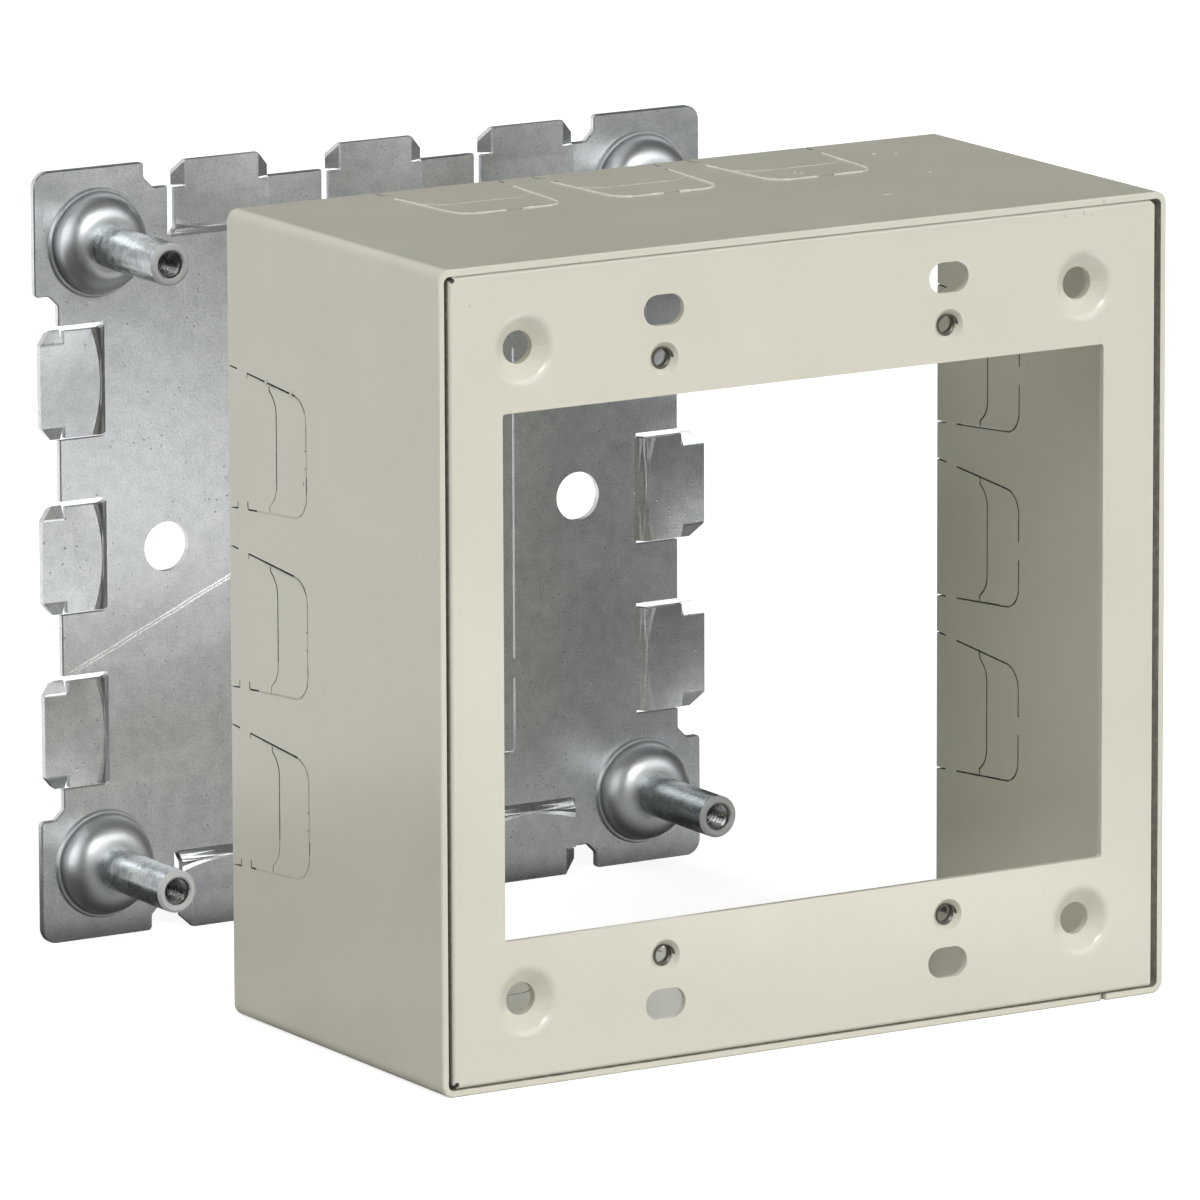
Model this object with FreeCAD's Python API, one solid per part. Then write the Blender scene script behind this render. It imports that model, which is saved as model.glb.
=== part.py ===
import FreeCAD, Part
import math
import os

# Two-gang deep raceway outlet box, sheet steel, taken apart along its depth.
# All lengths are in millimetres. Every piece is drawn lying on its back: x to
# the right, y up the wall and z out of the wall, with the wall at z = 0 and
# the middle of the base plate at the origin. The pieces are stood up at the
# end, so that z is up and the front of the box looks along -y.

# Cover, outside sizes
cover_width = 117.6
cover_height = 114.4
cover_depth = 57.2
cover_sheet = 0.95
wrap_bend_radius = 1.8
rim_edge_chamfer = 0.2

# Butt seam in the bottom wall
seam_from_right = 9.6
seam_gap = 0.3
seam_notch = 0.8

# Two-step raceway knockouts, three in each wall, open at the back edge
knockouts_per_wall = 3
raceway_pitch = 25.4
knockout_back_width = 20.0
knockout_front_width = 16.6
knockout_depth = 21.4
knockout_corner_radius = 3.3
knockout_slit = 0.24
small_step_depth = 13.2
small_step_front_width = 13.2
small_step_corner_radius = 3.5
small_step_shoulder_depth = 11.3
small_step_shoulder = 0.95
side_nib_from_back = 2.4
side_nib_length = 2.8
front_nib_length = 2.6

# Front panel, inset in the wrap
panel_recess = 0.3
panel_left_gap = 0.8
panel_right_gap = 0.9
flange_depth = 9.0
flange_bend_radius = 0.7
flange_relief_radius = 0.35
panel_right_corner_cut = 0.9
window_width = 97.2
window_height = 73.1
window_corner_radius = 0.5

# Device holes and slots in the panel
gang_pitch = 46.04
device_hole_spacing = 83.34
device_hole_diameter = 3.0
device_collar_length = 1.5
device_hole_chamfer = 0.8
slot_spacing = 96.8
slot_length = 6.4
slot_width = 4.3

# Cover screws: dimpled holes in the panel and the posts behind them
screw_side_inset = 12.65
screw_end_inset = 11.05
screw_hole_diameter = 4.6
dimple_diameter = 9.4
dimple_depth = 1.9
dimple_edge_radius = 1.8
dimple_margin = 1.0

# Base plate
plate_sheet = 1.0
plate_side_clearance = 2.55
plate_end_clearance = 0.25
ear_length = 17.9
ear_projection = 3.75
ear_corner_radius = 2.3
ear_end_radius = 0.6
ear_notch = 1.5
ear_notch_radius = 0.7
plate_edge_chamfer = 0.15

# Raised tongues round the plate
tongue_width = 15.4
tongue_side_gap = 0.6
tongue_root_inset = 7.2
tongue_raise = 1.3
tongue_ramp = 1.2
tongue_bend_radius = 1.0
tongue_tip_chamfer = 1.8
lock_notch_width = 0.35
lock_notch_depth = 1.8
lock_corner_drop = 0.9
lock_corner_radius = 1.0

# Bosses and threaded posts
boss_diameter = 15.9
boss_height = 4.4
boss_shoulder_width = 0.6
boss_shoulder_height = 0.5
boss_wall_run = 1.0
boss_top_radius = 3.4
boss_foot_margin = 1.0
post_diameter = 6.2
post_bore = 3.9
post_reach = 21.5
post_end_chamfer = 0.4
post_mouth_chamfer = 0.3
spigot_diameter = 5.2
spigot_clearance = 0.05
rivet_diameter = 6.2
rivet_thickness = 0.6

# Holes in the plate
mounting_hole_diameter = 7.2
mounting_hole_spacing = 68.8
centre_knockout_width = 47.0
centre_knockout_height = 73.8
centre_knockout_radius = 0.6
centre_knockout_slit = 0.35
side_tie_spacing = 49.0
end_tie_spacing = 24.0
tie_length = 2.8

# Where the cover stands once it is off the plate: in front of it and to its right.
# Both pieces stand on one floor, so its middle is a little higher than the plate's.
cover_stand_off = 52.8
cover_shift = 5.5

# Derived sizes
inner_width = cover_width - 2 * cover_sheet
inner_height = cover_height - 2 * cover_sheet
plate_width = inner_width - 2 * plate_side_clearance
plate_height = inner_height - 2 * plate_end_clearance
cover_rise = (cover_height - plate_height) / 2
screw_spacing_x = inner_width - 2 * screw_side_inset
screw_spacing_y = inner_height - 2 * screw_end_inset
panel_front = cover_depth - panel_recess
panel_back = panel_front - cover_sheet
panel_left = -inner_width / 2 + panel_left_gap
panel_right = inner_width / 2 - panel_right_gap
through = 1.0


def V(x, y, z=0.0):
    return FreeCAD.Vector(x, y, z)


def offset_polyline(points, distance):
    """The open polyline moved to its left by distance, with mitred corners."""
    normals = []
    for a, b in zip(points, points[1:]):
        along = (b - a).normalize()
        normals.append(V(-along.y, along.x))
    moved = [points[0] + normals[0] * distance]
    for corner, before, after in zip(points[1:-1], normals, normals[1:]):
        middle = before + after
        middle = middle * (2 / middle.dot(middle))
        moved.append(corner + middle * distance)
    moved.append(points[-1] + normals[-1] * distance)
    return moved


def corner_arc(before, corner, after, radius):
    """Start, middle and end of the arc that rounds one corner."""
    back = (before - corner).normalize()
    ahead = (after - corner).normalize()
    half = back.getAngle(ahead) / 2
    reach = radius / math.tan(half)
    bisector = (back + ahead).normalize()
    centre = corner + bisector * (radius / math.sin(half))
    return corner + back * reach, centre - bisector * radius, corner + ahead * reach


def rounded_edges(points, radii, closed):
    """Straight edges through the points, with an arc at each corner that has a radius."""
    count = len(points)
    starts = list(points)
    ends = list(points)
    arcs = {}
    for i in range(count):
        if not closed and i in (0, count - 1):
            continue
        if radii[i] <= 0:
            continue
        a, middle, b = corner_arc(points[i - 1], points[i], points[(i + 1) % count], radii[i])
        starts[i] = a
        ends[i] = b
        arcs[i] = Part.Arc(a, middle, b).toShape()
    edges = []
    for i in range(count if closed else count - 1):
        if i in arcs:
            edges.append(arcs[i])
        following = (i + 1) % count
        if ends[i].distanceToPoint(starts[following]) > 1e-6:
            edges.append(Part.makeLine(ends[i], starts[following]))
    return edges


def outline_face(points, radii):
    """A flat face inside a closed outline with rounded corners."""
    return Part.Face(Part.Wire(rounded_edges(points, radii, True)))


def strip_face(points, width, radii):
    """A flat strip of even width along a polyline, with a radius for each of its points."""
    left = offset_polyline(points, width / 2)
    right = offset_polyline(points, -width / 2)
    left_radii = [0.0] * len(points)
    right_radii = [0.0] * len(points)
    for i in range(1, len(points) - 1):
        if radii[i] <= 0:
            continue
        inner = max(radii[i] - width / 2, 0.0)
        outer = radii[i] + width / 2
        a = points[i] - points[i - 1]
        b = points[i + 1] - points[i]
        turns_left = a.x * b.y - a.y * b.x > 0
        left_radii[i] = inner if turns_left else outer
        right_radii[i] = outer if turns_left else inner
    return outline_face(left + right[::-1], left_radii + right_radii[::-1])


def turned(shape, x_axis, y_axis, origin=V(0, 0, 0)):
    """The shape with its own x and y axes laid along the two given ones."""
    rotation = FreeCAD.Rotation(x_axis, y_axis, x_axis.cross(y_axis), "ZXY")
    moved = shape.copy()
    moved.Placement = FreeCAD.Placement(origin, rotation).multiply(moved.Placement)
    return moved


def spun(section, x, y, z=0.0):
    """A solid of revolution from a section drawn as radius and height."""
    upright = turned(section, V(1, 0, 0), V(0, 0, 1))
    solid = upright.revolve(V(0, 0, 0), V(0, 0, 1), 360)
    solid.translate(V(x, y, z))
    return solid


def block(x0, x1, y0, y1, z0, z1):
    return Part.makeBox(x1 - x0, y1 - y0, z1 - z0, V(x0, y0, z0))


def rectangle_face(width, height, radius):
    corners = [V(-width / 2, -height / 2), V(width / 2, -height / 2),
               V(width / 2, height / 2), V(-width / 2, height / 2)]
    return outline_face(corners, [radius] * 4)


def raised(face, z0, z1):
    """The flat face turned into a slab between two heights."""
    slab = face.extrude(V(0, 0, z1 - z0))
    slab.translate(V(0, 0, z0))
    return slab


def four_ways(dx, dy):
    """The four corners of a rectangle of hole centres."""
    return [(sx * dx / 2, sy * dy / 2) for sy in (1, -1) for sx in (-1, 1)]


def row_offsets(count, pitch):
    return [(i - (count - 1) / 2) * pitch for i in range(count)]


def knockout_slits():
    """Flat faces of the slits of one knockout: x along the wall, y from the back edge."""
    back = knockout_back_width / 2
    front = knockout_front_width / 2

    def side(depth):
        return back + (front - back) * depth / knockout_depth

    slits = []
    nib_end = side_nib_from_back + side_nib_length
    for hand in (-1, 1):
        open_end = [V(hand * side(-through), -through),
                    V(hand * side(side_nib_from_back), side_nib_from_back)]
        slits.append(strip_face(open_end, knockout_slit, [0, 0]))
        hook = [V(hand * side(nib_end), nib_end), V(hand * front, knockout_depth),
                V(hand * front_nib_length / 2, knockout_depth)]
        slits.append(strip_face(hook, knockout_slit, [0, knockout_corner_radius, 0]))
    start = side(small_step_shoulder_depth)
    quarter = [V(start, small_step_shoulder_depth),
               V(start - small_step_shoulder, small_step_shoulder_depth),
               V(small_step_front_width / 2, small_step_depth)]
    small = [V(-p.x, p.y) for p in quarter] + quarter[::-1]
    corner = small_step_corner_radius
    slits.append(strip_face(small, knockout_slit, [0, 0, corner, corner, 0, 0]))
    return slits


def wall_cutters():
    """The knockout slits of all four walls, as blades through the sheet."""
    blades = []
    length = cover_sheet + 2 * through
    walls = [(0, cover_height), (90, cover_width), (180, cover_height), (270, cover_width)]
    for angle, across in walls:
        for along in row_offsets(knockouts_per_wall, raceway_pitch):
            for slit in knockout_slits():
                blade = turned(slit.extrude(V(0, 0, length)), V(1, 0, 0), V(0, 0, 1))
                blade.translate(V(along, across / 2 + through, 0))
                blade.rotate(V(0, 0, 0), V(0, 0, 1), angle)
                blades.append(blade)
    return blades


def make_cover_wrap():
    outer = raised(rectangle_face(cover_width, cover_height, wrap_bend_radius), 0, cover_depth)
    rim = [e for e in outer.Edges if min(v.Point.z for v in e.Vertexes) > cover_depth - 1e-6]
    outer = outer.makeChamfer(rim_edge_chamfer, rim)
    inner_radius = max(wrap_bend_radius - cover_sheet, 0.0)
    inner = rectangle_face(inner_width, inner_height, inner_radius)
    wrap = outer.cut(raised(inner, -through, cover_depth + through))
    seam_x = cover_width / 2 - seam_from_right
    low = -cover_height / 2 - through
    high = -inner_height / 2 + through
    seam = block(seam_x - seam_gap / 2, seam_x + seam_gap / 2, low, high,
                 -through, cover_depth + through)
    notch_points = [V(seam_x - seam_gap / 2 - seam_notch, cover_depth),
                    V(seam_x, cover_depth - seam_notch - seam_gap / 2),
                    V(seam_x, cover_depth + through),
                    V(seam_x - seam_gap / 2 - seam_notch, cover_depth + through)]
    notch_face = outline_face(notch_points, [0.0] * 4)
    notch = turned(notch_face.extrude(V(0, 0, high - low)), V(1, 0, 0), V(0, 0, 1),
                   V(0, high, 0))
    return wrap.cut([seam, notch] + wall_cutters())


def flange(length):
    """A return flange along x: the panel's edge bent back towards the wall."""
    middle = cover_sheet / 2
    bend = flange_bend_radius
    profile = [V(-2 * bend, -middle), V(-middle, -middle), V(-middle, -flange_depth)]
    section = strip_face(profile, cover_sheet, [0, bend - middle, 0])
    return turned(section.extrude(V(0, 0, length)), V(0, 1, 0), V(0, 0, 1))


def collar_section():
    """Section of a device hole's extruded collar as radius and height above the sheet's front."""
    bore = device_hole_diameter / 2
    wall = bore + cover_sheet
    end = -cover_sheet - device_collar_length
    corners = [V(bore + device_hole_chamfer, 0), V(wall, 0), V(wall, end), V(bore, end),
               V(bore, -device_hole_chamfer)]
    return outline_face(corners, [0.0] * len(corners))


def dimple_section():
    """Section of a dimple, down to where its screw hole is cut."""
    middle = cover_sheet / 2
    hole = screw_hole_diameter / 2
    foot = dimple_diameter / 2
    overrun = cover_sheet / hole
    path = [V(foot + dimple_margin, -middle), V(foot, -middle),
            V(hole - (foot - hole) * overrun, -middle - dimple_depth * (1 + overrun))]
    front = offset_polyline(path, -middle)
    behind = offset_polyline(path, middle)
    return outline_face(front + behind[::-1], [0.0, dimple_edge_radius, 0.0] + [0.0] * 3)


def make_front_panel():
    top = inner_height / 2
    setback = 2 * flange_bend_radius
    edge_start = panel_left + flange_bend_radius
    side_length = 2 * (top - flange_bend_radius)
    sheet = block(panel_left + setback, panel_right, setback - top, top - setback,
                  panel_back, panel_front)
    upper = flange(panel_right - edge_start)
    upper.translate(V(edge_start, top, panel_front))
    lower = upper.mirror(V(0, 0, 0), V(0, 1, 0))
    left = flange(side_length)
    left.rotate(V(0, 0, 0), V(0, 0, 1), 90)
    left.translate(V(panel_left, -side_length / 2, panel_front))
    panel = sheet.fuse([upper, lower, left]).removeSplitter()

    behind = panel_front - flange_depth - through
    ahead = panel_front + through
    window = rectangle_face(window_width, window_height, window_corner_radius)
    cutters = [raised(window, behind, ahead)]
    for hand in (-1, 1):
        corner = V(edge_start, hand * (top - flange_bend_radius), behind)
        cutters.append(Part.makeCylinder(flange_relief_radius, ahead - behind, corner))
    cut = panel_right_corner_cut
    snip = outline_face([V(panel_right - cut, top + through), V(panel_right - cut, top),
                         V(panel_right, top - cut), V(panel_right + through, top - cut),
                         V(panel_right + through, top + through)], [0.0] * 5)
    cutters.append(raised(snip, behind, ahead))
    for x, y in four_ways(gang_pitch, slot_spacing):
        slot = rectangle_face(slot_length, slot_width, slot_width / 2)
        slot.translate(V(x, y, 0))
        cutters.append(raised(slot, behind, ahead))

    device_holes = four_ways(gang_pitch, device_hole_spacing)
    screw_holes = four_ways(screw_spacing_x, screw_spacing_y)
    formed = []
    for centres, section, seat in (
            (device_holes, collar_section(), device_hole_diameter / 2 + cover_sheet),
            (screw_holes, dimple_section(), dimple_diameter / 2 + dimple_margin)):
        for x, y in centres:
            cutters.append(Part.makeCylinder(seat, ahead - behind, V(x, y, behind)))
            formed.append(spun(section, x, y, panel_front))
    holes = [Part.makeCylinder(screw_hole_diameter / 2, ahead - behind, V(x, y, behind))
             for x, y in screw_holes]
    return panel.cut(cutters).fuse(formed).cut(holes).removeSplitter()


def plate_outline():
    """The plate's front view: a rectangle with an ear at each corner."""
    right = plate_width / 2
    top = plate_height / 2
    side = right - ear_projection
    head = top - ear_projection
    ear_x = right - ear_length
    ear_y = top - ear_length
    quarter = [
        (side, ear_y - ear_notch, ear_notch_radius),
        (side + ear_notch, ear_y, ear_notch_radius),
        (right, ear_y, ear_end_radius),
        (right, top, ear_corner_radius),
        (ear_x, top, ear_end_radius),
        (ear_x, head + ear_notch, ear_notch_radius),
        (ear_x - ear_notch, head, ear_notch_radius)]
    points = []
    for sx, sy in ((1, 1), (-1, 1), (-1, -1), (1, -1)):
        corners = quarter if sx * sy > 0 else quarter[::-1]
        points += [(V(sx * x, sy * y), r) for x, y, r in corners]
    return outline_face([p for p, r in points], [r for p, r in points])


def tongue():
    """One raised tongue, with its root at y = 0, rising towards +y."""
    edge = tongue_root_inset
    tip = tongue_root_inset + ear_projection
    half = tongue_width / 2
    low = plate_sheet / 2
    high = low + tongue_raise
    body_end = edge + lock_notch_width / 2
    ramp_path = [V(-tongue_bend_radius, low), V(0, low), V(tongue_ramp, high),
                 V(body_end, high)]
    bend = tongue_bend_radius - plate_sheet / 2
    body = strip_face(ramp_path, plate_sheet, [0, bend, bend, 0])
    body = turned(body.extrude(V(0, 0, tongue_width)), V(0, 1, 0), V(0, 0, 1),
                  V(-half, 0, 0))
    fold = half - lock_notch_depth
    head_path = [V(-half, high - lock_corner_drop), V(-fold, high), V(fold, high),
                 V(half, high - lock_corner_drop)]
    corner = lock_corner_radius - plate_sheet / 2
    head = strip_face(head_path, plate_sheet, [0, corner, corner, 0])
    head = turned(head.extrude(V(0, 0, tip - body_end)), V(1, 0, 0), V(0, 0, 1),
                  V(0, tip, 0))
    reach = plate_sheet + tongue_raise + through
    cutters = []
    for hand in (-1, 1):
        chamfer = outline_face([V(hand * (half - tongue_tip_chamfer), tip),
                                V(hand * (half + through), tip - tongue_tip_chamfer - through),
                                V(hand * (half + through), tip + through),
                                V(hand * (half - tongue_tip_chamfer), tip + through)],
                               [0.0] * 4)
        cutters.append(raised(chamfer, -through, reach))
        inner = hand * fold
        outer = hand * (half + through)
        cutters.append(block(min(inner, outer), max(inner, outer), body_end - lock_notch_width,
                             body_end, -through, reach))
    return body.fuse(head).cut(cutters).removeSplitter()


def boss_section():
    """Section of a boss as radius and height: shoulder ring, domed wall and flat top."""
    foot = boss_diameter / 2
    shoulder = foot - boss_shoulder_width
    hole = spigot_diameter / 2 + spigot_clearance
    seat = foot + boss_foot_margin
    step = plate_sheet + boss_shoulder_height
    top = plate_sheet + boss_height
    wall_top = shoulder - boss_wall_run
    outside = [V(seat, plate_sheet), V(foot, plate_sheet),
               V(foot - boss_shoulder_height / 2, step), V(shoulder, step),
               V(wall_top, top), V(hole, top)]
    outside_radii = [0.0, 0.0, 0.0, 0.0, boss_top_radius, 0.0]
    formed = [V(seat, plate_sheet), V(foot, plate_sheet), V(wall_top, top), V(hole, top)]
    seat_in, foot_in, bend_in, hole_in = offset_polyline(formed, plate_sheet)
    bend_steps = corner_arc(foot_in, bend_in, hole_in, boss_top_radius - plate_sheet)
    inside = [hole_in] + list(bend_steps)[::-1] + [foot_in, seat_in]
    return outline_face(outside + inside, outside_radii + [0.0] * len(inside))


def centre_knockout_slits():
    """The slits round the large knockout in the middle, broken by its ties."""
    x = centre_knockout_width / 2
    y = centre_knockout_height / 2
    tie = tie_length / 2
    near_side = side_tie_spacing / 2
    near_end = end_tie_spacing / 2
    paths = []
    for sx in (-1, 1):
        paths.append([V(sx * x, near_side - tie), V(sx * x, tie - near_side)])
        for sy in (-1, 1):
            paths.append([V(sx * x, sy * (near_side + tie)), V(sx * x, sy * y),
                          V(sx * (near_end + tie), sy * y)])
    for sy in (-1, 1):
        paths.append([V(near_end - tie, sy * y), V(tie - near_end, sy * y)])
    faces = [strip_face(path, centre_knockout_slit, [centre_knockout_radius] * len(path))
             for path in paths]
    return [raised(face, -through, plate_sheet + through) for face in faces]


def tongue_places():
    """Angle, middle along the edge and distance out of the root of every tongue."""
    half_width = plate_width / 2
    half_height = plate_height / 2
    inset = ear_projection + tongue_root_inset
    for angle, out in ((0, half_height), (90, half_width), (180, half_height), (270, half_width)):
        for along in row_offsets(knockouts_per_wall, raceway_pitch):
            yield angle, along, out - inset


def make_base_plate():
    plate = raised(plate_outline(), 0, plate_sheet)
    front = [e for e in plate.Edges if min(v.Point.z for v in e.Vertexes) > plate_sheet - 1e-6]
    plate = plate.makeChamfer(plate_edge_chamfer, front)

    cutters = centre_knockout_slits()
    added = []
    half_gap = tongue_width / 2 + tongue_side_gap
    one_tongue = tongue()
    gap = block(-half_gap, half_gap, 0, tongue_root_inset + ear_projection + through,
                -through, plate_sheet + through)
    for angle, along, root in tongue_places():
        for source, kept in ((gap, cutters), (one_tongue, added)):
            copy = source.copy()
            copy.translate(V(along, root, 0))
            copy.rotate(V(0, 0, 0), V(0, 0, 1), angle)
            kept.append(copy)
    for hand in (-1, 1):
        middle = V(hand * mounting_hole_spacing / 2, 0, -through)
        cutters.append(Part.makeCylinder(mounting_hole_diameter / 2,
                                         plate_sheet + 2 * through, middle))
    boss_seat = boss_diameter / 2 + boss_foot_margin
    boss = boss_section()
    for x, y in four_ways(screw_spacing_x, screw_spacing_y):
        cutters.append(Part.makeCylinder(boss_seat, plate_sheet + 2 * through,
                                         V(x, y, -through)))
        added.append(spun(boss, x, y))
    return plate.cut(cutters).fuse(added).removeSplitter()


def make_post(x, y):
    """A threaded tube standing on a boss, its spigot riveted over behind."""
    seat = plate_sheet + boss_height
    end = plate_sheet + post_reach
    bore = post_bore / 2
    outer = post_diameter / 2
    spigot = spigot_diameter / 2
    rivet = rivet_diameter / 2
    back = boss_height
    section = [V(bore, end - post_mouth_chamfer), V(bore + post_mouth_chamfer, end),
               V(outer - post_end_chamfer, end), V(outer, end - post_end_chamfer),
               V(outer, seat), V(spigot, seat), V(spigot, back), V(rivet, back),
               V(rivet, back - rivet_thickness), V(bore, back - rivet_thickness)]
    return spun(outline_face(section, [0.0] * len(section)), x, y)


def stood_up(shape, place=V(0, 0, 0)):
    """The piece turned from lying on its back to standing, then moved to its place."""
    standing = shape.copy()
    standing.rotate(V(0, 0, 0), V(1, 0, 0), 90)
    standing.translate(place)
    return standing


def make_parts():
    cover_place = V(cover_shift, -cover_stand_off, cover_rise)
    parts = {
        "cover_wrap": stood_up(make_cover_wrap(), cover_place),
        "front_panel": stood_up(make_front_panel(), cover_place),
        "base_plate": stood_up(make_base_plate())}
    names = ("post_top_left", "post_top_right", "post_bottom_left", "post_bottom_right")
    for name, (x, y) in zip(names, four_ways(screw_spacing_x, screw_spacing_y)):
        parts[name] = stood_up(make_post(x, y))
    return parts


def main():
    os.makedirs("parts", exist_ok=True)
    for name, shape in make_parts().items():
        shape.exportStep(os.path.join("parts", name + ".step"))
        print(name, "solids", len(shape.Solids), "volume", round(shape.Volume, 1))


if __name__ == "__main__":
    main()
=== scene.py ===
"""Finishes a two-gang raceway outlet box: ivory enamel, zinc, threads and the marks of use."""

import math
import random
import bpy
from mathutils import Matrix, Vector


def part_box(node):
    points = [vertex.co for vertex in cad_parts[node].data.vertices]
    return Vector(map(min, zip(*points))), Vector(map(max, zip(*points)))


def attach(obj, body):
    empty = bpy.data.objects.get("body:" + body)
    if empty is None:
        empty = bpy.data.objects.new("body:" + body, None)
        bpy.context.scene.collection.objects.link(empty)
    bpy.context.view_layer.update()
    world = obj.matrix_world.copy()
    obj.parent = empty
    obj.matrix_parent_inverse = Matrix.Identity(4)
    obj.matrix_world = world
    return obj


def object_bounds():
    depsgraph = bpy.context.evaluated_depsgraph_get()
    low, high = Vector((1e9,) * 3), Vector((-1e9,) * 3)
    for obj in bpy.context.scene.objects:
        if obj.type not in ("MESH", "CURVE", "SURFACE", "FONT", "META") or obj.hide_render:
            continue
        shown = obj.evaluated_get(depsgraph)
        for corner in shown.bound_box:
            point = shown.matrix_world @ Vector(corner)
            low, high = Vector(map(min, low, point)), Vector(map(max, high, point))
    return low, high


bl_info = {
    "name": "Raceway outlet box finish",
    "version": (1, 0, 0),
    "blender": (4, 5, 0),
    "location": "3D View > Sidebar > Outlet Box",
    "description": "Enamel, zinc, screw threads and paint marks for a raceway outlet box",
    "category": "Object",
}

import bmesh
import bpy
from bpy.props import FloatProperty, FloatVectorProperty, IntProperty, PointerProperty
from mathutils import Matrix, Vector

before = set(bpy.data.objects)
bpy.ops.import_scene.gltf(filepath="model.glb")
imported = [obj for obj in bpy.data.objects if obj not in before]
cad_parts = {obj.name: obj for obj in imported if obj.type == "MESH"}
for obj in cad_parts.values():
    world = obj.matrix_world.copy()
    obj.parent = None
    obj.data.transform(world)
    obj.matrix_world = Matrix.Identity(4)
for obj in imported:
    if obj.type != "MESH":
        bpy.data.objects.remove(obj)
cad_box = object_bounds()

MM = 0.001
BODY = "root"
POSTS = ("post_top_left", "post_top_right", "post_bottom_left", "post_bottom_right")

# The knockouts as they lie in the cover's walls, in millimetres
WALL_PITCH = 25.4
KNOCKOUT_BACK_WIDTH = 20.0
KNOCKOUT_FRONT_WIDTH = 16.6
KNOCKOUT_DEPTH = 21.4
KNOCKOUT_CORNER = 3.3
KNOCKOUTS_PER_WALL = 3
SIDE_NIB_START = 2.4
SIDE_NIB_END = 5.2
FRONT_NIB = 1.3
STEP_DEPTH = 13.2
STEP_HALF_WIDTH = 6.6
STEP_CORNER = 3.5
STEP_SHOULDER_DEPTH = 11.3
STEP_SHOULDER = 0.95

# The cover's middle and walls, and the crevice round its panel, in millimetres
COVER_MIDDLE_X = 5.5
COVER_MIDDLE_Z = 1.2
COVER_BACK = -52.8
SIDE_WALL_INSIDE = 57.85
END_WALL_INSIDE = 56.25
SIDE_CREVICE = 1.0
END_CREVICE = 0.7
CREVICE_BACK = -101.0

# Holes of the front panel, in millimetres
GANG_PITCH = 46.04
DEVICE_HOLE_SPACING = 83.34
DEVICE_BORE = 3.0
DEVICE_COLLAR = 2.45
PANEL_RECESS = 0.3

# Bore of a post and how far its thread reaches in from the mouth, in millimetres
POST_BORE = 3.9
POST_THREAD_LENGTH = 16.0

# The plate's tongues and bosses, in millimetres from the middle of the plate
SIDE_TONGUE_ROOT = 44.35
END_TONGUE_ROOT = 45.05
TONGUE_WIDTH = 15.4
TONGUE_RAMP = 1.2
TONGUE_RAISE = 1.3
BOSS_PLACE = 45.2
BOSS_RADIUS = 7.95
BOSS_WALL_RADIUS = 7.35

# A screw thread's section: how far its foot and its crest reach from its middle, in pitches,
# and how deep the foot lies in the wall of the bore, in millimetres
THREAD_FOOT = 0.44
THREAD_CREST = 0.07
THREAD_SINK = 0.05
THREAD_STEPS_PER_TURN = 28

# Sizes of the textures and distance over which an edge fades, in millimetres
ENAMEL_CLOUDS = 14.0
ENAMEL_DUST = 0.5
ENAMEL_SPECK_SPACING = 5.2
SLIT_PATCHES = 1.2
FINE_GRAIN = 0.33
COARSE_GRAIN = 1.7
SPECK_SPACING = 1.25
SPECK_CLUSTERS = 4.5
SCORE_WANDER = 6.0
POST_STAINS = 1.6
FLOOR_GRAIN = 3.0
EDGE_FADE = 0.1

# Cards of light round the box: azimuth, elevation and half width in degrees, and strength
PLAIN_CARDS = (
    (20, 16, 28, 4.55),
    (-45, 48, 30, 1.75),
    (-135, 16, 32, 1.85),
    (135, 16, 32, 0.9),
    (0, 80, 32, 0.92),
)
MIRRORED_CARDS = (
    (20, 16, 32, 2.6),
    (-11, 29, 12, 13.0),
    (-90, 18, 32, 1.5),
    (-143, 20, 66, 0.95),
)

# The long patch of light ahead of the box on the floor that the metal mirrors, in metres
PATCH_MIDDLE = (0.096, -0.270, 0.0)
PATCH_RUN = (0.36, -0.93, 0.0)
PATCH_ACROSS = (0.93, 0.36, 0.0)
PATCH_HALF_LENGTH = 0.125
PATCH_END_FADE = 0.06
PATCH_HALF_WIDTH = 0.040
PATCH_SIDE_FADE = 0.025

# The rest of that floor, in metres: its lit part behind the box, the strip under the gap
# between plate and cover, and the strip at the foot of the plate with its two ends
BEHIND_START = 0.04
BEHIND_FADE = 0.05
GAP_MIDDLE = -0.042
GAP_HALF_WIDTH = 0.016
FOOT_MIDDLE = -0.025
FOOT_HALF_WIDTH = 0.015
STRIP_FADE = 0.010
FOOT_LEFT = -0.052
FOOT_LEFT_FADE = 0.010
FOOT_RIGHT = 0.080
FOOT_RIGHT_FADE = 0.020

# Stretches of a knockout's slits that the paint has bridged, and beads of paint beside the
# slits: slit, side of the knockout, start and end as shares of the slit's length, and height
# above the sheet in millimetres
BRIDGE_DEPTH = 0.45
LIP_SINK = 0.03
PAINT_BRIDGES = {
    "left": (("side", -1, 0.58, 1.0, -0.07), ("side", 1, 0.08, 0.82, -0.07),
             ("side", 1, 0.91, 1.0, -0.07), ("step", 1, 0.74, 1.0, -0.07)),
    "right": (("side", -1, 0.5, 1.0, -0.07), ("side", 1, 0.3, 1.0, -0.07),
              ("step", 1, 0.0, 0.3, -0.07)),
    "top": (("side", -1, 0.0, 1.0, 0.15), ("side", 1, 0.0, 1.0, 0.15),
            ("step", 1, 0.0, 1.0, 0.05)),
    "bottom": (("side", -1, 0.4, 0.9, -0.07), ("side", 1, 0.1, 0.7, -0.07),
               ("step", 1, 0.6, 1.0, -0.07)),
}
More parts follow.
